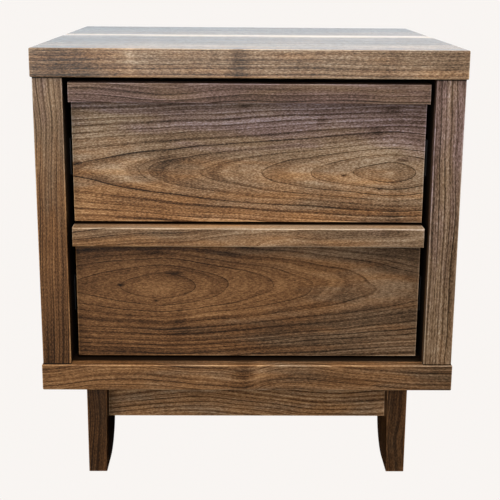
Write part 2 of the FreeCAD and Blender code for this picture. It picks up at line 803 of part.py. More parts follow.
def drawer_parts(drawer, bottom):
    drawer_front(drawer, bottom)
    for name, side in SIDES.items():
        box_side(drawer, name, side, bottom)
    groove_front = f"({BOX_FRONT} + box_wall - groove_depth)"
    back_row = f"({BOX_FRONT} + box_depth - box_wall)"
    box_cross(drawer, "front", bottom, BOX_FRONT, groove_front)
    box_cross(drawer, "back", bottom, back_row, back_row)
    box_floor(drawer, bottom)
    group(f"{drawer}_face_screws",
          [screw(point, "-y", "face_shank", "face_screw_length", "face_head", "face_head_rise")
           for point in face_screw_places(bottom)])
    slide_screws = []
    for side in SIDES.values():
        for point in box_screw_places(side, bottom):
            slide_screws.append(screw(point, inward(side), "small_shank", "box_screw_length",
                                      "small_head", "flat_head_rise"))
    group(f"{drawer}_slide_screws", slide_screws)
    slides(drawer, bottom)


# ---------------------------------------------------------------- assembly

top_slab()
for side_name, side_sign in SIDES.items():
    side_panel(side_name, side_sign)
bottom_panel()
back_panel()
carcass_dowels()
base()
slide_case_screws()
for drawer_name, drawer_bottom in DRAWERS.items():
    drawer_parts(drawer_name, drawer_bottom)
doc.recompute()

for thing in doc.Objects:
    if "Invalid" in thing.State or "Error" in thing.State:
        raise RuntimeError(f"{thing.Name} ({thing.Label}) did not recompute")
os.makedirs("parts", exist_ok=True)
for piece in pieces:
    if piece.Shape.isNull() or not piece.Shape.isValid():
        raise RuntimeError(f"{piece.Label} has no valid shape")
    piece.Shape.exportStep(f"parts/{piece.Label}.step")
print(len(pieces), "sub-parts written")
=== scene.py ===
"""Looks for the two-drawer walnut nightstand: camera, light, floor and procedural materials.

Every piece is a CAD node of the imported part, and only gets a material here. The woods are
solid textures: each board is cut from its own log, so the grain runs through the board and
comes out right on all its faces. Lengths in the material formulas are in millimetres, and
everywhere else in metres.
"""

import math
from collections import namedtuple
from types import SimpleNamespace

import bpy
from mathutils import Matrix, Vector


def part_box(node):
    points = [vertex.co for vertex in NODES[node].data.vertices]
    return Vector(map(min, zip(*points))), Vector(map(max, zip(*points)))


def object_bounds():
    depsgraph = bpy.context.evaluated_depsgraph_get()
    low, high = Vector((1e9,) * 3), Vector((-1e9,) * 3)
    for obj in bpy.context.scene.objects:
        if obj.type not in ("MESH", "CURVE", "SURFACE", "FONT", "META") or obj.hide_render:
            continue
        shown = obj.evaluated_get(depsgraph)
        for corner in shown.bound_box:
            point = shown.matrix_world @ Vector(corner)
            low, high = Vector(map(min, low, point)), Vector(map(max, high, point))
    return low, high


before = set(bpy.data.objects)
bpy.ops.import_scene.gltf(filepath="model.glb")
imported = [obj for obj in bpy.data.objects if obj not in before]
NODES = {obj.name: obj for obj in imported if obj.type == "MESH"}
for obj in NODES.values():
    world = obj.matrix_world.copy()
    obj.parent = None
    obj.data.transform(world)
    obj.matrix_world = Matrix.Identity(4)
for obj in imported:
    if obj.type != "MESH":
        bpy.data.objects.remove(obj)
CAD_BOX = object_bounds()

MM = 1000.0                     # millimetres in a metre
AXES = "XYZ"
SEED_STEPS = (1.7, 3.1, 5.3)    # cells by which one seed moves a noise along each axis


# ---------------------------------------------------------------- formulas in node trees

class Wire:
    """One output of a node, used in formulas as if it were a number."""

    def __init__(self, tree, socket):
        self.tree = tree
        self.socket = socket

    def __add__(self, other):
        return formula("ADD", self, other)

    def __radd__(self, other):
        return formula("ADD", self, other)

    def __sub__(self, other):
        return formula("SUBTRACT", self, other)

    def __rsub__(self, other):
        return formula("SUBTRACT", other, self)

    def __mul__(self, other):
        return formula("MULTIPLY", self, other)

    def __rmul__(self, other):
        return formula("MULTIPLY", self, other)

    def __truediv__(self, other):
        return formula("DIVIDE", self, other)

    def __rtruediv__(self, other):
        return formula("DIVIDE", other, self)

    def __neg__(self):
        return formula("MULTIPLY", self, -1.0)


def feed(tree, socket, value):
    """Links a wire to a socket, or sets the socket to a plain value."""
    if isinstance(value, Wire):
        tree.links.new(value.socket, socket)
    else:
        socket.default_value = value


def formula(operation, *terms):
    """A Math node on one or more wires and numbers."""
    tree = next(term.tree for term in terms if isinstance(term, Wire))
    node = tree.nodes.new("ShaderNodeMath")
    node.operation = operation
    for socket, term in zip(node.inputs, terms):
        feed(tree, socket, term)
    return Wire(tree, node.outputs[0])


def size_of(term):
    return formula("ABSOLUTE", term)


def least(one, other):
    return formula("MINIMUM", one, other)


def most(one, other):
    return formula("MAXIMUM", one, other)


def root(term):
    return formula("SQRT", term)


def ramp(value, low, high, start=0.0, end=1.0):
    """Goes smoothly from start to end as value goes from low to high."""
    node = value.tree.nodes.new("ShaderNodeMapRange")
    node.interpolation_type = "SMOOTHSTEP"
    for socket, term in zip(node.inputs, (value, low, high, start, end)):
        feed(value.tree, socket, term)
    return Wire(value.tree, node.outputs[0])


def choose(switch, low, high):
    """low where switch is 0, high where it is 1."""
    return low + (high - low) * switch


def vector(x, y, z):
    tree = next(term.tree for term in (x, y, z) if isinstance(term, Wire))
    node = tree.nodes.new("ShaderNodeCombineXYZ")
    for socket, term in zip(node.inputs, (x, y, z)):
        feed(tree, socket, term)
    return Wire(tree, node.outputs[0])


def noise(at, cell, seed, detail=2.0, roughness=0.5):
    """Noise about 0, mostly within -0.5 to 0.5. cell is its cells' size in mm on each axis."""
    tree = at[0].tree
    node = tree.nodes.new("ShaderNodeTexNoise")
    place = vector(*(term / length + seed * step
                     for term, length, step in zip(at, cell, SEED_STEPS)))
    feed(tree, node.inputs["Vector"], place)
    node.inputs["Scale"].default_value = 1.0
    node.inputs["Detail"].default_value = detail
    node.inputs["Roughness"].default_value = roughness
    return (Wire(tree, node.outputs[0]) - 0.5) * 2.0


def chance(value, seed):
    """A different number from 0 to 1 for each whole value."""
    node = value.tree.nodes.new("ShaderNodeTexWhiteNoise")
    node.noise_dimensions = "1D"
    feed(value.tree, node.inputs["W"], value + seed)
    return Wire(value.tree, node.outputs["Value"])


def colours(value, stops):
    """A colour ramp: stops are (place, (red, green, blue))."""
    node = value.tree.nodes.new("ShaderNodeValToRGB")
    feed(value.tree, node.inputs[0], value)
    elements = node.color_ramp.elements
    while len(elements) < len(stops):
        elements.new(0.5)
    for element, (place, colour) in zip(elements, stops):
        element.position = place
        element.color = (*colour, 1.0)
    return Wire(value.tree, node.outputs[0])


def tinted(colour, tint, amount):
    """The colour multiplied by a tint, as far as amount says."""
    node = colour.tree.nodes.new("ShaderNodeMix")
    node.data_type = "RGBA"
    node.blend_type = "MULTIPLY"
    feed(colour.tree, node.inputs[0], amount)
    feed(colour.tree, node.inputs[6], colour)
    feed(colour.tree, node.inputs[7], tint if isinstance(tint, Wire) else (*tint, 1.0))
    return Wire(colour.tree, node.outputs[2])


def new_material(name):
    """An empty material, its shader, and the position in mm as three wires."""
    material = bpy.data.materials.new(name)
    material.use_nodes = True
    tree = material.node_tree
    shader = next(node for node in tree.nodes if node.type == "BSDF_PRINCIPLED")
    place = tree.nodes.new("ShaderNodeTexCoord")
    split = tree.nodes.new("ShaderNodeSeparateXYZ")
    tree.links.new(place.outputs["Object"], split.inputs[0])
    at = [Wire(tree, socket) * MM for socket in split.outputs]
    return material, shader, at


def finish_shader(shader, colour, roughness, height, relief):
    """Feeds a shader its colour, roughness, and a bump of relief mm times height."""
    tree = colour.tree
    feed(tree, shader.inputs["Base Color"], colour)
    feed(tree, shader.inputs["Roughness"], roughness)
    bump = tree.nodes.new("ShaderNodeBump")
    bump.inputs["Distance"].default_value = relief / MM
    feed(tree, bump.inputs["Height"], height)
    tree.links.new(bump.outputs[0], shader.inputs["Normal"])


def edge_distance(at, node):
    """How far a point is from the nearest edge of the node's box, in mm."""
    low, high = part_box(node)
    gaps = []
    for term, start, end in zip(at, low, high):
        middle = (start + end) / 2 * MM
        half = (end - start) / 2 * MM
        gaps.append(half - size_of(term - middle))
    near = least(gaps[0], gaps[1])
    far = most(gaps[0], gaps[1])
    return most(near, least(far, gaps[2]))


# ---------------------------------------------------------------- walnut

WALNUT_TONES = (
    (0.00, (0.010, 0.005, 0.0015)),
    (0.22, (0.048, 0.025, 0.010)),
    (0.45, (0.160, 0.090, 0.045)),
    (0.70, (0.360, 0.235, 0.138)),
    (1.00, (0.700, 0.560, 0.410)),
)
COOL = (0.98, 1.00, 1.50)       # tint of the greyer, more purple wood
WARM = (1.10, 0.84, 0.56)       # tint of the redder, more golden wood

EVEN = 1e6                      # a cell so long that the pattern is even along that axis

# The patterns in a board: (seed step, cell size in mm, detail, roughness).
PATTERNS = {
    "big_sway": (0.0, (150.0, 60.0, 60.0), 1.0, 0.5),
    "small_sway": (11.0, (60.0, 24.0, 24.0), 0.5, 0.5),
    "uneven_years": (23.0, (17.0, EVEN, EVEN), 1.0, 0.5),
    "broken_lines": (31.0, (50.0, 12.0, 12.0), 2.0, 0.5),
    "band": (41.0, (3.0, 4.0, EVEN), 1.0, 0.5),
    "cloud": (47.0, (120.0, 30.0, 30.0), 2.0, 0.5),
    "streak": (53.0, (230.0, 1.9, EVEN), 2.0, 0.6),
    "fibre": (59.0, (3.2, 1.10, 1.10), 2.0, 0.7),
    "pore": (61.0, (9.0, 0.8, 0.8), 1.0, 0.5),
    "cross": (67.0, (13.0, 60.0, 60.0), 1.0, 0.5),
    "patches": (71.0, (90.0, 14.0, 14.0), 2.0, 0.5),
}

# How much each part of the figure darkens or lightens the wood.
WEIGHT = SimpleNamespace(line=0.44, late=0.09, band=0.15, streak=0.38, finer=0.20, cloud=0.20,
                         fibre=0.58, cross=0.06, pore=0.07, strip=0.16, wear_and_highlight=0.28, seam=0.6)

FIRST_RING = 40.95              # number of the ring line that closes around the eye
TIP = 10.0                      # roundness of the rings' tips, in mm
SMALL_SWAY = 1.6                # in mm
UNEVEN_YEARS = 0.5              # in ring widths
FLATTEST = 0.06                 # least slope of a ring at the face, to keep its width in bounds
FIRM_RINGS = (1.0, 3.5)         # ring lines are firm before the first of these, soft after
FAINT, BOLD = 0.30, 0.85        # strength of the faintest and boldest of the soft lines
LINE = (0.5, 1.8)               # width of a ring line's sharp and soft sides, in mm
FINE_LINE = (0.35, 1.0)
FINER = 2.37                    # fine lines to a ring
FINER_SEED = 5.0
BAND_LENGTH = 90.0              # in mm
CALM_RINGS = 3.2                # rings around the eye in which the wood is calm
CALM = 0.65                     # how much less goes on there
STRIP_SEEDS = (1.3, 2.7)
STRIP_SHIFT = 0.6               # how far off its middle a strip's heart may be, in strip widths
STRIP_SLIDE = 700.0             # how far along the log two strips may be from each other
SAPWOOD_WANDER = 12.0           # how far the sapwood's edge wanders, in mm
WEAR_AND_HIGHLIGHT_DEPTH = (0.4, 1.9)                # edges are painted pale as far in as this, in mm: partly wear, partly a painted highlight on the arrises
SEAM = (0.6, 2.2)               # a joint line is black, then fades, as far in as this, in mm
PAINTED_SHADE_TONE = -0.1                    # tone of the painted shade, nearly black, on faces in the drawer gaps
RELIEF = 0.10                   # depth of the open grain, in mm

Bend = namedtuple("Bend", "along half_length height")
Spot = namedtuple("Spot", "along across half_length half_height darkness")
Sapwood = namedtuple("Sapwood", "across half_width paleness")
# A mark of painted shade: faces in the drawer gaps are painted nearly black.
PaintedGapShade = namedtuple("PaintedGapShade", "axis face inwards front fade strength")


def pale_patch(along, across, half_length, half_height, paleness):
    """A patch of lighter wood."""
    return Spot(along, across, half_length, half_height, -paleness)


def pin_knot(along, across, half_length):
    """A tiny dark knot."""
    return Spot(along, across, half_length, 1.5, 0.5)


def cross_band(along, half_length, darkness):
    """A band across the slab's front edge, fading back over the top."""
    return Spot(along, 0.0, half_length, 30.0, darkness)


# How a board was cut from its log. Shares are of the board's box, and lengths are in mm from
# the eye.
USUAL_LOG = {
    "grain": "X",               # the grain runs along this axis
    "across": "Z",              # this axis runs across the face that shows
    "depth_sign": 1.0,          # 1 when the face is on the low side of the third axis
    "eye": (0.5, 0.5),          # shares along and across where the rings come nearest the face
    "heart": 25.0,              # depth of the log's heart at the eye
    "first": 4.0,               # width of the ring that closes around the eye
    "ring": 5.2,                # width of the other rings
    "rise": (0.12, 0.12),       # slope of the heart away from the eye, before and after it
    "reach": 150.0,             # distance in which that slope fades
    "tilt": 0.0,                # slope of the grain across the board
    "squeeze": 1.0,             # how much closer the rings lie across the board than into it
    "sway": 5.0,                # how far the grain wanders from its line
    "waves": (),                # Bends in the grain
    "strip": 0.0,               # width of the strips that a wide panel is glued from
    "tone": 0.5,                # place on WALNUT_TONES
    "tone_across": 0.0,         # change of tone over the board's width
    "tone_along": 0.0,          # and over its length
    "warmth": 0.0,              # 1 is WARM, -1 is COOL
    "warmth_across": 0.0,
    "warmth_along": 0.0,
    "lines": 1.0,               # strength of the ring lines
    "contrast": 1.0,            # of the whole figure
    "glow": 0.0,                # paler calm wood around the eye
    "eye_warmth": 0.0,          # warmth of that wood
    "spots": (),                # Spots
    "sapwood": None,            # Sapwood
    "stain": None,              # painted shade, nearly black, on a face in the gaps that is hidden when the drawers are shut
    "seams": False,             # dark joint lines at the board's two ends
    "dullness": 0.5,            # roughness of the finish
    "sheen": 0.25,              # specular level of the finish
}


def cut(**given):
    """The usual log with a seed, and with some of its settings changed."""
    return SimpleNamespace(**{**USUAL_LOG, **given})


def bell(term):
    """1 where the term is 0, falling away on both sides."""
    return formula("EXPONENT", -(term * term))


def pattern(part, place, log):
    """One of the board's patterns, about 0."""
    step, cell, detail, roughness = PATTERNS[part]
    return noise(place, cell, log.seed + step, detail, roughness)


def in_grain_axes(at, node, log):
    """Position as (along the grain, across the face, depth behind it), from the log's eye."""
    low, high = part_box(node)
    along_axis = AXES.index(log.grain)
    across_axis = AXES.index(log.across)
    depth_axis = 3 - along_axis - across_axis
    origin_along = (low[along_axis] + (high[along_axis] - low[along_axis]) * log.eye[0]) * MM
    origin_across = (low[across_axis] + (high[across_axis] - low[across_axis]) * log.eye[1]) * MM
    face = low[depth_axis] if log.depth_sign > 0 else high[depth_axis]
    along = at[along_axis] - origin_along
    across = at[across_axis] - origin_across
    depth = (at[depth_axis] - face * MM) * log.depth_sign
    return along, across, depth


def split_in_strips(grain_at, log):
    """A wide panel is glued up from strips, each cut at another place of the log."""
    along, across, depth = grain_at
    number = formula("FLOOR", across / log.strip)
    middle = (number + 0.5) * log.strip
    shift, slide = (chance(number, log.seed + seed) - 0.5 for seed in STRIP_SEEDS)
    across = across - middle + shift * (log.strip * STRIP_SHIFT)
    along = along + slide * STRIP_SLIDE
    return (along, across, depth), number


def growth_rings(grain_at, log):
    """Distance from the log's heart in ring widths, and how wide a ring comes out, in mm."""
    along, across, depth = grain_at
    span = root(along * along + TIP * TIP)
    rise = choose(ramp(along, -TIP, TIP), log.rise[0], log.rise[1])
    fading = formula("EXPONENT", (TIP - span) / log.reach)
    slope = rise * fading
    side = across - along * log.tilt + pattern("big_sway", grain_at, log) * log.sway
    for bend in log.waves:
        side = side - bell((along - bend.along) / bend.half_length) * bend.height
    side = side * log.squeeze
    inward = depth + (1.0 - fading) * rise * log.reach + log.heart
    distance = root(side * side + inward * inward)
    climb = inward * slope
    crowd = side * log.squeeze
    steepness = root(crowd * crowd + climb * climb) / distance
    radius = distance + pattern("small_sway", grain_at, log) * SMALL_SWAY
    uneven = pattern("uneven_years", (radius, radius, radius), log) * UNEVEN_YEARS
    rings = (radius - (log.heart + log.first)) / log.ring + uneven + FIRST_RING
    return rings, log.ring / most(steepness, FLATTEST)


def grain_lines(rings, width, seed, sharp, soft):
    """Dark lines at whole ring numbers: sharp mm wide outside and soft mm wide inside."""
    phase = formula("FRACT", rings)
    number = formula("FLOOR", rings)
    before = (1.0 - phase) * width
    firm_to, soft_from = (FIRST_RING + count for count in FIRM_RINGS)
    firm = ramp(number, firm_to, soft_from, 1.0, 0.0)
    fade = sharp + choose(firm, soft * 1.6, soft * 0.7)
    line = ramp(before, 0.0, sharp) * ramp(before, sharp, fade, 1.0, 0.0)
    return line * most(choose(chance(number, seed), FAINT, BOLD), firm)


def figure(grain_at, log):
    """The grain's paleness about 0, with what the colour, gloss and relief need of it."""
    rings, ring_width = growth_rings(grain_at, log)
    along = grain_at[0]
    phase = formula("FRACT", rings)
    broken = ramp(pattern("broken_lines", grain_at, log), -0.4, 0.3, 0.4, 1.0)
    line = grain_lines(rings, ring_width, log.seed, *LINE) * broken
    finer = grain_lines(rings * FINER, ring_width / FINER, log.seed + FINER_SEED, *FINE_LINE)
    late = ramp(phase, 0.30, 0.95) * ramp(phase, 0.96, 1.0, 1.0, 0.0)
    band = pattern("band", (rings, along / BAND_LENGTH, rings), log)
    cloud = pattern("cloud", grain_at, log)
    streak = pattern("streak", (along, rings * log.ring, rings), log)
    fibre = pattern("fibre", grain_at, log)
    pore = ramp(pattern("pore", grain_at, log), 0.12, 0.40)
    cross = pattern("cross", grain_at, log)
    near_eye = bell((rings - FIRST_RING) / CALM_RINGS) if log.glow else 0.0
    calm = near_eye * CALM
    ringed = band * WEIGHT.band + streak * WEIGHT.streak - finer * (WEIGHT.finer * log.lines)
    pale = near_eye * log.glow + ringed * (1.0 - calm)
    pale = pale + cloud * WEIGHT.cloud + fibre * WEIGHT.fibre + cross * WEIGHT.cross
    pale = pale - (line * WEIGHT.line + late * WEIGHT.late) * log.lines - pore * WEIGHT.pore
    return pale * log.contrast, line, cloud, streak, fibre, pore, calm


def painted_gap_shade(at, stain):
    """How far a face in the drawer gaps is painted black as shade, where it is hidden once the
    drawers are shut.
    """
    level = at[AXES.index(stain.axis)]
    inside = ramp((level - stain.face) * stain.inwards, -1.0, -0.2, 0.0, stain.strength)
    return inside * ramp(at[1], stain.front - stain.fade, stain.front)


def spotted(tone, plain_at, streak, spots):
    """The tone with its spots, whose edges follow the streaks."""
    for spot in spots:
        off_along = (plain_at[0] - spot.along) / spot.half_length
        off_across = (plain_at[1] - spot.across) / spot.half_height
        far = off_along * off_along + off_across * off_across + streak * 0.5
        tone = tone - formula("EXPONENT", -far) * spot.darkness
    return tone


def walnut(node, log):
    """Walnut: growth rings, broad bands, fibres, pores, smudges, edges paler from wear and a
    painted highlight, and painted shade on faces in the drawer gaps.
    """
    material, shader, at = new_material(node + "_walnut")
    shader.inputs["Specular IOR Level"].default_value = log.sheen
    plain_at = in_grain_axes(at, node, log)
    grain_at, strip = split_in_strips(plain_at, log) if log.strip else (plain_at, None)
    pale, line, cloud, streak, fibre, pore, calm = figure(grain_at, log)
    low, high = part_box(node)
    width = (high - low)[AXES.index(log.across)] * MM
    length = (high - low)[AXES.index(log.grain)] * MM
    share = plain_at[1] / width + (log.eye[1] - 0.5)
    share_along = plain_at[0] / length + (log.eye[0] - 0.5)

    tone = pale + log.tone + share * log.tone_across + share_along * log.tone_along
    if strip:
        tone = tone + (chance(strip, log.seed) - 0.5) * WEIGHT.strip
    if log.sapwood:
        off_sapwood = plain_at[1] - log.sapwood.across + cloud * SAPWOOD_WANDER
        tone = tone + bell(off_sapwood / log.sapwood.half_width) * log.sapwood.paleness
    tone = spotted(tone, plain_at, streak, log.spots)
    # edges paler: partly wear, partly a painted highlight along the arrises, where light catches
    # them
    wear_and_highlight = ramp(edge_distance(at, node) + fibre * 0.6, *WEAR_AND_HIGHLIGHT_DEPTH, 1.0, 0.0)
    if log.seams:
        from_end = length / 2 - size_of(share_along * length)
        seam = ramp(from_end, *SEAM, 1.0, 0.0)
        wear_and_highlight = wear_and_highlight * (1.0 - seam)
        tone = tone - seam * WEIGHT.seam
    tone = tone + wear_and_highlight * WEIGHT.wear_and_highlight
    # painted shade: faces in the gaps behind the drawer fronts are painted nearly black
    if log.stain:
        tone = choose(painted_gap_shade(at, log.stain), tone, PAINTED_SHADE_TONE)

    warmth = cloud * 0.5 + pattern("patches", grain_at, log) * 0.9
    warmth = warmth + calm * log.eye_warmth + log.warmth
    warmth = warmth + share * log.warmth_across + share_along * log.warmth_along
    colour = colours(tone, WALNUT_TONES)
    colour = tinted(colour, WARM, ramp(warmth, 0.0, 1.0))
    colour = tinted(colour, COOL, ramp(warmth, 0.0, -1.0))
    roughness = pore * 0.20 + streak * 0.10 + wear_and_highlight * 0.08 + log.dullness
    height = fibre * 0.35 - pore * 0.7 - line * 0.15
    finish_shader(shader, colour, roughness, height, RELIEF)
    return material


# ---------------------------------------------------------------- other materials

MAPLE_TONES = (
    (0.0, (0.26, 0.16, 0.085)),
    (0.5, (0.50, 0.36, 0.215)),
    (1.0, (0.70, 0.56, 0.39)),
)
BEECH_TONES = (
    (0.0, (0.28, 0.15, 0.08)),
    (0.5, (0.52, 0.34, 0.20)),
    (1.0, (0.68, 0.50, 0.33)),
)


def pale_wood(name, grain, tones, seed):
    """Pale drawer wood or dowel wood: quiet rings, fine fibres and a few darker flecks."""
    material, shader, at = new_material(name)
    heart_depth, ring = 60.0, 4.6
    along_axis = AXES.index(grain)
    others = [axis for axis in range(3) if axis != along_axis]
    grain_at = (at[along_axis], at[others[0]], at[others[1]])
    sway = noise(grain_at, (240.0, 60.0, 60.0), seed, 1.0)
    inward = grain_at[2] + sway * 9.0 + heart_depth
    side = grain_at[1] + sway * 14.0
    rings = root(inward * inward + side * side) / ring
    phase = formula("FRACT", rings)
    late = ramp(phase, 0.5, 0.95) * ramp(phase, 0.95, 1.0, 1.0, 0.0)
    cloud = noise(grain_at, (140.0, 26.0, 26.0), seed + 3.0)
    fibre = noise(grain_at, (12.0, 0.9, 0.9), seed + 5.0, roughness=0.6)
    fleck = ramp(noise(grain_at, (5.0, 0.7, 0.7), seed + 7.0, 1.0), 0.25, 0.5)
    tone = cloud * 0.22 + fibre * 0.20 - late * 0.20 - fleck * 0.14 + 0.62
    colour = colours(tone, tones)
    roughness = fibre * 0.10 + fleck * 0.12 + 0.5
    finish_shader(shader, colour, roughness, fibre * 0.5 - fleck * 0.6, 0.08)
    return material


def plywood(name, thickness_axis, ply, seed):
    """Birch plywood: wavy streaked face veneer, and crossed plies showing on the edges."""
    material, shader, at = new_material(name)
    ply_step, wave_width = 40.0, 7.5
    through = at[AXES.index(thickness_axis)]
    plane = [at[axis] for axis in range(3) if AXES[axis] != thickness_axis]
    layer = formula("FLOOR", through / ply)
    crossed = formula("PINGPONG", layer, 1.0)
    along = choose(crossed, plane[0], plane[1])
    side = choose(crossed, plane[1], plane[0])
    grain_at = (along, side, layer * ply_step)
    sway = noise(grain_at, (220.0, 70.0, 1.0), seed, 1.0)
    wave = formula("SINE", side / wave_width + sway * 9.0)
    fibre = noise(grain_at, (14.0, 1.0, 1.0), seed + 5.0, roughness=0.6)
    cloud = noise(grain_at, (120.0, 40.0, 1.0), seed + 9.0)
    streak = noise(grain_at, (170.0, 3.0, 1.0), seed + 13.0, roughness=0.6)
    glue = ramp(size_of(formula("FRACT", through / ply) - 0.5), 0.42, 0.5)
    tone = wave * 0.07 + streak * 0.26 + fibre * 0.15 + cloud * 0.14 + 0.62
    tone = tone - crossed * 0.15 - glue * 0.2
    colour = colours(tone, MAPLE_TONES)
    finish_shader(shader, colour, fibre * 0.12 + 0.55, fibre * 0.5 - glue * 0.4, 0.06)
    return material


def steel(name, dullness, cell, seed, colour):
    """Plated steel: faint spangle, fine draw lines along the slide, and dull rub marks."""
    material, shader, at = new_material(name)
    shader.inputs["Metallic"].default_value = 1.0
    spangle = noise(at, (cell, cell, cell), seed)
    drawn = noise((at[1], at[0], at[2]), (60.0, 0.35, 0.35), seed + 3.0)
    rub = noise(at, (cell * 0.6, cell * 5.0, cell * 0.6), seed + 7.0, 3.0, 0.6)
    shade = spangle * 0.16 + drawn * 0.10 + rub * 0.12 + 0.5
    dark = tuple(part * 0.55 for part in colour)
    light = tuple(min(part * 1.35, 1.0) for part in colour)
    tones = ((0.0, dark), (0.5, colour), (1.0, light))
    roughness = rub * 0.16 + spangle * 0.08 + dullness
    finish_shader(shader, colours(shade, tones), roughness, drawn * 0.5 + spangle * 0.2, 0.02)
    return material


# ---------------------------------------------------------------- boards and their materials

CASE_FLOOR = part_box("bottom_panel")[1][2] * MM
LEFT_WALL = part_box("side_panel_left")[1][0] * MM
RIGHT_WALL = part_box("side_panel_right")[0][0] * MM
LIP_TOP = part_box("lower_pull_lip")[1][2] * MM
UPPER_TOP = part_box("upper_drawer_face")[1][2] * MM
FACE_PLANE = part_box("lower_drawer_face")[0][1] * MM
# strength of the painted shade on the drawer faces' edges in the gaps
DRAWER_EDGE_SHADE = 0.65

# Spot: along, across, half length and half height in mm from the eye, and darkness.
UPPER_FACE_SPOTS = (
    Spot(-84.0, 62.0, 6.0, 3.5, 0.25),
    Spot(-18.0, 50.0, 9.0, 6.0, 0.2),
    Spot(-2.0, 76.0, 8.0, 4.0, 0.25),
    pin_knot(-57.0, -4.0, 3.5),
    pin_knot(-14.0, -21.0, 2.5),
    Spot(14.0, 15.0, 8.0, 2.5, 0.3),
    Spot(-271.0, 18.0, 16.0, 7.0, 0.18),
    Spot(-380.0, 9.0, 9.0, 2.5, 0.3),
    Spot(-177.0, 80.0, 8.0, 2.5, 0.3),
    Spot(4.0, -45.0, 13.0, 30.0, 0.10),
    pale_patch(-120.0, 70.0, 130.0, 30.0, 0.09),
    Spot(-330.0, -35.0, 60.0, 20.0, 0.06),
    pale_patch(-160.0, -38.0, 80.0, 20.0, 0.06),
)
LOWER_FACE_SPOTS = (
    pin_knot(-50.0, 0.0, 4.0),
    pin_knot(-6.0, -20.0, 2.5),
    Spot(18.0, 16.0, 9.0, 3.0, 0.3),
    Spot(-10.0, 43.0, 22.0, 4.0, 0.2),
    Spot(22.0, -40.0, 14.0, 35.0, 0.08),
    Spot(100.0, -75.0, 90.0, 25.0, 0.06),
    pale_patch(210.0, 50.0, 80.0, 18.0, 0.18),
    pale_patch(-10.0, 0.0, 30.0, 18.0, 0.05),
    pale_patch(250.0, 5.0, 40.0, 12.0, 0.08),
)


def leg_log(**given):
    """A leg: dark, warm and quiet, with upright grain."""
    return cut(grain="Z", across="Y", warmth=0.9, contrast=0.55, **given)


def side_log(**given):
    """A side panel: glued from upright strips, with a joint at its top and bottom."""
    return cut(grain="Z", across="Y", heart=35.0, strip=91.0, rise=(0.06, 0.06), seams=True,
               **given)


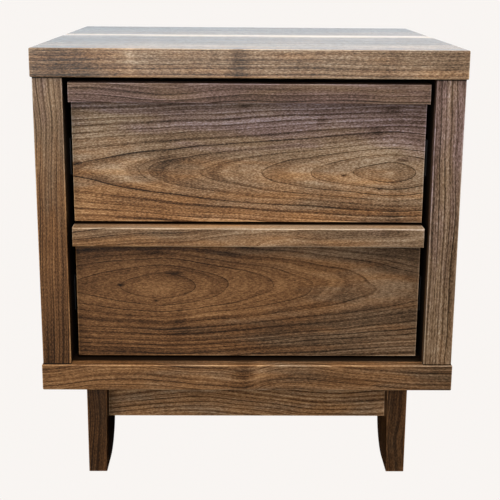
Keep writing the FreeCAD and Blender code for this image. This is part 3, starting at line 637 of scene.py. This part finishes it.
WALNUT_LOGS = {
    "top_slab": cut(
        across="Y", depth_sign=-1.0, eye=(0.2, 0.0), heart=30.0, rise=(0.05, 0.05), seed=3.0,
        strip=92.0, sapwood=Sapwood(245.0, 23.0, 0.75), dullness=0.36, sheen=0.56,
        # tone_across paints the top lighter towards its front edge, and warmth_across paints it
        # bluer towards the back: painted reflection of the light on the finish
        tone=0.45, tone_along=0.12, tone_across=-0.26, lines=0.8, contrast=1.05,
        warmth=-0.15, warmth_across=-0.8,
        spots=(cross_band(14.0, 5.0, -0.15), cross_band(139.0, 10.0, 0.21),
               cross_band(318.0, 14.0, 0.12), cross_band(-55.0, 48.0, 0.24),
               cross_band(390.0, 30.0, 0.11))),
    "upper_drawer_face": cut(
        eye=(0.907, 0.365), heart=36.0, first=4.0, ring=7.2, rise=(0.142, 0.19), reach=600.0,
        squeeze=1.35, sway=3.6, seed=5.0, tone=0.65, contrast=1.05, glow=0.07,
        warmth=-0.15, warmth_across=-2.2, warmth_along=-0.8, eye_warmth=0.8,
        stain=PaintedGapShade("Z", UPPER_TOP, 1.0, FACE_PLANE, 0.5, DRAWER_EDGE_SHADE),
        spots=UPPER_FACE_SPOTS),
    "upper_pull_lip": cut(
        eye=(0.3, -1.4), heart=40.0, rise=(0.03, 0.03), seed=8.0, waves=(Bend(-15.0, 55.0, -9.0),),
        tone=0.54, tone_along=-0.10, lines=0.9, contrast=0.85, warmth=-0.7),
    "lower_drawer_face": cut(
        eye=(0.245, 0.541), heart=40.0, first=4.2, ring=7.4, rise=(0.13, 0.168), reach=500.0,
        squeeze=1.22, sway=3.0, seed=13.0, tone=0.45, tone_along=0.07, tone_across=-0.07,
        contrast=0.8, glow=0.13, warmth=0.6, warmth_along=-1.0, eye_warmth=1.6,
        stain=PaintedGapShade("Z", LIP_TOP, 1.0, FACE_PLANE, 0.5, DRAWER_EDGE_SHADE),
        spots=LOWER_FACE_SPOTS),
    "lower_pull_lip": cut(
        eye=(0.1, -0.6), heart=40.0, rise=(0.03, 0.03), tilt=0.10, seed=17.0,
        waves=(Bend(200.0, 60.0, 5.0),), tone=0.63, tone_along=0.16, lines=0.9, contrast=0.85,
        # the long thin pale patch along the lip's top is a painted highlight on its top face and
        # arris
        warmth=0.35, warmth_along=-0.6, spots=(pale_patch(150.0, 38.0, 500.0, 1.4, 0.35),),
        stain=PaintedGapShade("Z", LIP_TOP, 1.0, FACE_PLANE - 1.0, 4.0, DRAWER_EDGE_SHADE)),
    "bottom_panel": cut(
        eye=(0.5, -1.2), heart=45.0, rise=(0.02, 0.02), seed=19.0, tone=0.56, lines=0.9,
        contrast=0.8, warmth=0.7, warmth_along=-0.5,
        waves=(Bend(-160.0, 75.0, 11.0), Bend(66.0, 60.0, 12.0), Bend(0.0, 22.0, -6.0)),
        spots=(Spot(-6.0, 60.0, 14.0, 14.0, 0.22), pale_patch(16.0, 60.0, 10.0, 12.0, 0.14),
               pale_patch(0.0, 60.0, 90.0, 40.0, 0.05), Spot(240.0, 60.0, 70.0, 40.0, 0.05)),
        stain=PaintedGapShade("Z", CASE_FLOOR, 1.0, FACE_PLANE - 6.0, 7.0, 1.0)),
    "side_panel_left": side_log(
        eye=(0.35, 0.0), seed=41.0, tone=0.54, tone_along=0.24, contrast=0.8,
        warmth=0.85, warmth_along=-2.5,
        stain=PaintedGapShade("X", LEFT_WALL, 1.0, FACE_PLANE - 16.0, 6.0, 1.0)),
    "side_panel_right": side_log(
        eye=(0.6, 0.0), depth_sign=-1.0, seed=43.0, tone=0.525, tone_along=-0.06, contrast=0.85,
        warmth=-0.3, warmth_along=-1.0,
        stain=PaintedGapShade("X", RIGHT_WALL, -1.0, FACE_PLANE - 4.0, 14.0, 1.0)),
    "front_rail": cut(
        eye=(0.4, -1.0), heart=40.0, rise=(0.02, 0.02), seed=23.0, tone=0.72, contrast=0.9,
        warmth=0.7, waves=(Bend(-30.0, 80.0, 14.0), Bend(150.0, 60.0, -6.0))),
    "rear_rail": cut(eye=(0.6, 0.4), depth_sign=-1.0, seed=29.0, warmth=0.6),
    "side_rail_left": cut(grain="Y", eye=(0.3, 0.5), seed=31.0, warmth=0.6),
    "side_rail_right": cut(grain="Y", eye=(0.7, 0.5), depth_sign=-1.0, seed=37.0, warmth=0.6),
    "leg_front_left": leg_log(eye=(0.6, 0.3), seed=47.0, tone=0.28),
    "leg_front_right": leg_log(eye=(0.4, 0.6), seed=53.0, tone=0.36, depth_sign=-1.0),
    "leg_rear_left": leg_log(eye=(0.5, 0.7), seed=59.0, tone=0.36),
    "leg_rear_right": leg_log(eye=(0.3, 0.4), seed=61.0, tone=0.36, depth_sign=-1.0),
}


def dress(node, material):
    """Puts a material on a CAD node's slots."""
    for place in NODES[node].material_slots:
        place.material = material


def dress_nodes():
    """Gives every CAD node its material."""
    for node, log in WALNUT_LOGS.items():
        dress(node, walnut(node, log))
    maple_x = pale_wood("maple_along_x", "X", MAPLE_TONES, seed=2.0)
    finishes = (                # word in the node's name, material: the first that fits
        ("screws", steel("screw_plating", dullness=0.38, cell=1.5, seed=4.0,
                         colour=(0.58, 0.56, 0.50))),
        ("dowels", pale_wood("beech_along_z", "Z", BEECH_TONES, seed=8.0)),
        ("ball_cages", steel("polished_balls", dullness=0.18, cell=3.0, seed=6.0,
                             colour=(0.66, 0.66, 0.67))),
        ("corner_block", pale_wood("maple_along_z", "Z", MAPLE_TONES, seed=6.0)),
        ("box_front", maple_x),
        ("box_back", maple_x),
        ("box_side", pale_wood("maple_along_y", "Y", MAPLE_TONES, seed=4.0)),
        ("box_floor", plywood("plywood_floor", "Z", ply=2.0, seed=3.0)),
        ("back_panel", plywood("plywood_back", "Y", ply=1.8, seed=5.0)),
        ("slide", steel("slide_black_coat", dullness=0.42, cell=6.0, seed=2.0,
                        colour=(0.05, 0.05, 0.052))),
    )
    for node in NODES:
        if node not in WALNUT_LOGS:
            dress(node, next(finish for word, finish in finishes if word in node))


# ---------------------------------------------------------------- floor, light and camera

PALE = (0.945, 0.913, 0.888)            # the backdrop and the floor
SKY = (0.92, 1.02, 1.10)                # the light from all round
BACKDROP_LIGHT = 2.15                   # light from low behind the piece, which the top mirrors
ROUND_LIGHT = 0.03                      # light from everywhere else above the floor
FLOOR_HALF = 14.0


def make_floor():
    """A wide pale floor that glows evenly, so it shows no shadow, and lights nothing."""
    mesh = bpy.data.meshes.new("floor")
    corners = [(x, y, 0.0) for x, y in ((-FLOOR_HALF, -FLOOR_HALF), (FLOOR_HALF, -FLOOR_HALF),
                                        (FLOOR_HALF, FLOOR_HALF), (-FLOOR_HALF, FLOOR_HALF))]
    mesh.from_pydata(corners, [], [(0, 1, 2, 3)])
    floor = bpy.data.objects.new("floor", mesh)
    bpy.context.scene.collection.objects.link(floor)
    material = bpy.data.materials.new("floor_paint")
    material.use_nodes = True
    tree = material.node_tree
    tree.nodes.clear()
    glow = tree.nodes.new("ShaderNodeEmission")
    glow.inputs["Color"].default_value = (*PALE, 1.0)
    glow.inputs["Strength"].default_value = 1.0
    out = tree.nodes.new("ShaderNodeOutputMaterial")
    tree.links.new(glow.outputs[0], out.inputs["Surface"])
    mesh.materials.append(material)
    floor.visible_diffuse = False
    floor.visible_glossy = False
    floor.visible_transmission = False
    floor.visible_shadow = False


def make_world():
    """Studio light from low behind the piece, and a plain pale backdrop for the camera."""
    world = bpy.data.worlds.new("studio")
    bpy.context.scene.world = world
    world.use_nodes = True
    tree = world.node_tree
    tree.nodes.clear()
    place = tree.nodes.new("ShaderNodeTexCoord")
    split = tree.nodes.new("ShaderNodeSeparateXYZ")
    tree.links.new(place.outputs["Generated"], split.inputs[0])
    y, z = (Wire(tree, split.outputs[axis]) for axis in "YZ")
    behind = ramp(y, 0.3, 0.85)
    low_sky = ramp(z, 0.25, 0.7, 1.0, 0.0)
    above_floor = ramp(z, 0.0, 0.10)
    light = tree.nodes.new("ShaderNodeBackground")
    light.inputs["Color"].default_value = (*SKY, 1.0)
    strength = (behind * low_sky * BACKDROP_LIGHT + ROUND_LIGHT) * above_floor
    feed(tree, light.inputs["Strength"], strength)
    seen = tree.nodes.new("ShaderNodeBackground")
    seen.inputs["Color"].default_value = (*PALE, 1.0)
    path = tree.nodes.new("ShaderNodeLightPath")
    mix = tree.nodes.new("ShaderNodeMixShader")
    tree.links.new(path.outputs["Is Camera Ray"], mix.inputs[0])
    tree.links.new(light.outputs[0], mix.inputs[1])
    tree.links.new(seen.outputs[0], mix.inputs[2])
    out = tree.nodes.new("ShaderNodeOutputWorld")
    tree.links.new(mix.outputs[0], out.inputs["Surface"])


def area_light(name, place, aim, size, power, colour):
    """A square soft light of size metres and power watts at place, turned to aim."""
    lamp = bpy.data.lights.new(name, "AREA")
    lamp.size = size
    lamp.energy = power
    lamp.color = colour
    holder = bpy.data.objects.new(name, lamp)
    bpy.context.scene.collection.objects.link(holder)
    direction = Vector(aim) - Vector(place)
    holder.rotation_euler = direction.to_track_quat("-Z", "Y").to_euler()
    holder.location = place


def make_lights():
    """A large window in front, a soft light above, and a fill for each side."""
    low, high = CAD_BOX
    middle = (Vector(low) + Vector(high)) / 2
    area_light("window", (-0.6, -2.3, 0.9), middle, size=2.4, power=39.0,
               colour=(1.0, 0.985, 0.965))
    area_light("ceiling", (0.25, -0.75, 1.9), middle, size=1.1, power=23.0,
               colour=(1.0, 0.98, 0.95))
    for name, side in (("left_fill", -1.0), ("right_fill", 1.0)):
        area_light(name, (side * 2.6, 0.5, 1.0), middle, size=1.2, power=34.0,
                   colour=(1.0, 0.97, 0.93))


def make_camera():
    """The photograph's view: from the front, a little above the slab and left of the middle."""
    low, high = CAD_BOX
    in_front = 1.1605
    above_slab = 0.0874
    left_of_middle = 0.0148
    pitch, yaw, roll = 0.2262, 0.0138, 0.0079
    sensor_width, focal_length = 36.0, 72.26
    framing_shift = -0.096
    lens = bpy.data.cameras.new("camera")
    lens.sensor_width = sensor_width
    lens.lens = focal_length
    lens.shift_y = framing_shift
    camera = bpy.data.objects.new("camera", lens)
    bpy.context.scene.collection.objects.link(camera)
    middle_x = (low[0] + high[0]) / 2
    spot = Vector((middle_x - left_of_middle, low[1] - in_front, high[2] + above_slab))
    turn = (Matrix.Rotation(-yaw, 4, "Z") @ Matrix.Rotation(math.pi / 2 - pitch, 4, "X")
            @ Matrix.Rotation(roll, 4, "Z"))
    camera.matrix_world = Matrix.Translation(spot) @ turn
    bpy.context.scene.camera = camera


dress_nodes()
make_floor()
make_world()
make_lights()
make_camera()
bpy.context.scene.view_settings.view_transform = "Standard"
